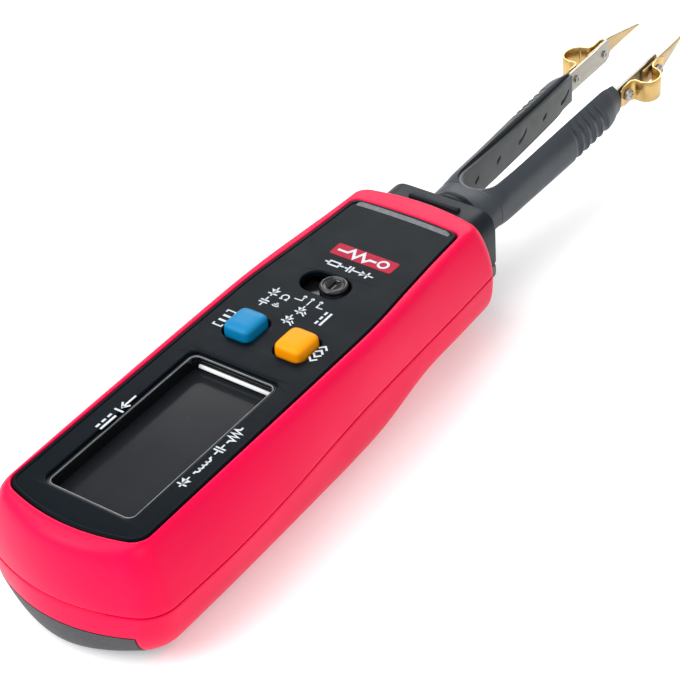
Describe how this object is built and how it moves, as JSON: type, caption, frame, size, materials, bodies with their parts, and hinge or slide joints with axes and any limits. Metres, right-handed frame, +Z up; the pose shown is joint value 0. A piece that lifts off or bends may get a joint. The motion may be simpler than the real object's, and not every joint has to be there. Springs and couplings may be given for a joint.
{
  "type": "component tester",
  "caption": "Hand-held tweezer-type electronic component tester with a red two-piece case, a display panel, two keys, a mode slider and spring probe tips.",
  "frame": {"origin": "centre of the part's outline in plan, on the surface that its back lies on", "axes": "+Y along the tool toward the probe tips, +Z up through the display panel, +X to the right seen from above with the tips pointing away"},
  "size_m": [0.0346, 0.1796, 0.0231],
  "materials": {
    "case_red": "satin red-pink moulded shell",
    "panel_black": "satin black face panel",
    "lens_clear": "clear glossy window",
    "lcd_dark": "dark display cell",
    "diffuser_white": "white light guide",
    "zebra_rubber": "striped conductive rubber",
    "board_green": "green circuit board",
    "part_black": "black moulded component",
    "switch_steel": "plated switch can",
    "key_blue": "blue key cap",
    "key_yellow": "amber key cap",
    "cell_steel": "nickel-plated cell can",
    "contact_brass": "gold-plated contact",
    "cover_grey": "grained dark grey cover",
    "arm_dark": "satin dark grey moulding",
    "arm_grey": "mid grey liner",
    "blade_steel": "warm grey steel blade",
    "tip_gold": "polished gold-plated strip",
    "screw_steel": "plated steel screw"
  },
  "bodies": {
    "case": {"upper_case": "case_red", "lower_case": "case_red", "face_panel": "panel_black", "lcd_lens": "lens_clear", "lcd_glass": "lcd_dark", "lcd_backlight": "diffuser_white", "lcd_frame": "part_black", "zebra_strip": "zebra_rubber", "main_board": "board_green", "meter_chip": "part_black", "buzzer": "part_black", "slide_switch_body": "switch_steel", "hold_switch": "switch_steel", "select_switch": "switch_steel", "coin_cell": "cell_steel", "battery_holder": "part_black", "battery_contact_plus": "contact_brass", "battery_contact_minus": "contact_brass", "case_screw_1": "screw_steel", "case_screw_2": "screw_steel", "case_screw_3": "screw_steel", "case_screw_4": "screw_steel", "socket_contact_left": "contact_brass", "socket_contact_right": "contact_brass"},
    "hold_key": {"hold_button": "key_blue", "hold_plunger": "part_black"},
    "select_key": {"select_button": "key_yellow", "select_plunger": "part_black"},
    "mode_slider": {"mode_knob": "part_black", "mode_lever": "part_black"},
    "battery_door": {"battery_cover": "cover_grey"},
    "tweezer_head": {"plug_housing_upper": "arm_dark", "plug_housing_lower": "arm_grey", "plug_pin_left": "contact_brass", "plug_pin_right": "contact_brass", "neck_collar": "arm_dark", "fork_yoke": "arm_dark", "fork_liner": "arm_grey"},
    "left_arm": {"left_arm_shell": "arm_dark", "left_arm_cover": "arm_grey", "left_blade": "blade_steel", "left_tip": "tip_gold", "left_loop": "tip_gold", "left_root_screw": "screw_steel", "left_tip_screw": "screw_steel"},
    "right_arm": {"right_arm_shell": "arm_dark", "right_arm_cover": "arm_grey", "right_blade": "blade_steel", "right_tip": "tip_gold", "right_loop": "tip_gold", "right_root_screw": "screw_steel", "right_tip_screw": "screw_steel"}
  },
  "joints": [
    {"name": "hold_press", "type": "slide", "parent": "case", "child": "hold_key", "axis": [0, 0, -1], "range_m": [0, 0.0008], "stiffness_N_per_m": 500},
    {"name": "select_press", "type": "slide", "parent": "case", "child": "select_key", "axis": [0, 0, -1], "range_m": [0, 0.0008], "stiffness_N_per_m": 500},
    {"name": "mode_slide", "type": "slide", "parent": "case", "child": "mode_slider", "axis": [-1, 0, 0], "range_m": [0, 0.0033]},
    {"name": "battery_cover_slide", "type": "slide", "parent": "case", "child": "battery_door", "axis": [0, -1, 0], "range_m": [0, 0.028]},
    {"name": "tweezers_unplug", "type": "slide", "parent": "case", "child": "tweezer_head", "axis": [0, 1, 0], "range_m": [0, 0.014]},
    {"name": "right_arm_flex", "type": "hinge", "parent": "tweezer_head", "child": "right_arm", "pos_m": [0.0054, 0.0251, 0.0123], "axis": [0, 0, 1], "range_deg": [0, 3.75], "stiffness_Nm_per_rad": 1},
    {"name": "left_arm_flex", "type": "hinge", "parent": "tweezer_head", "child": "left_arm", "pos_m": [-0.0054, 0.0251, 0.0123], "axis": [0, 0, 1], "range_deg": [-3.75, 0], "stiffness_Nm_per_rad": 1}
  ],
  "couplings": [
    {"joint": "left_arm_flex", "follows": "right_arm_flex", "ratio": -1}
  ]
}
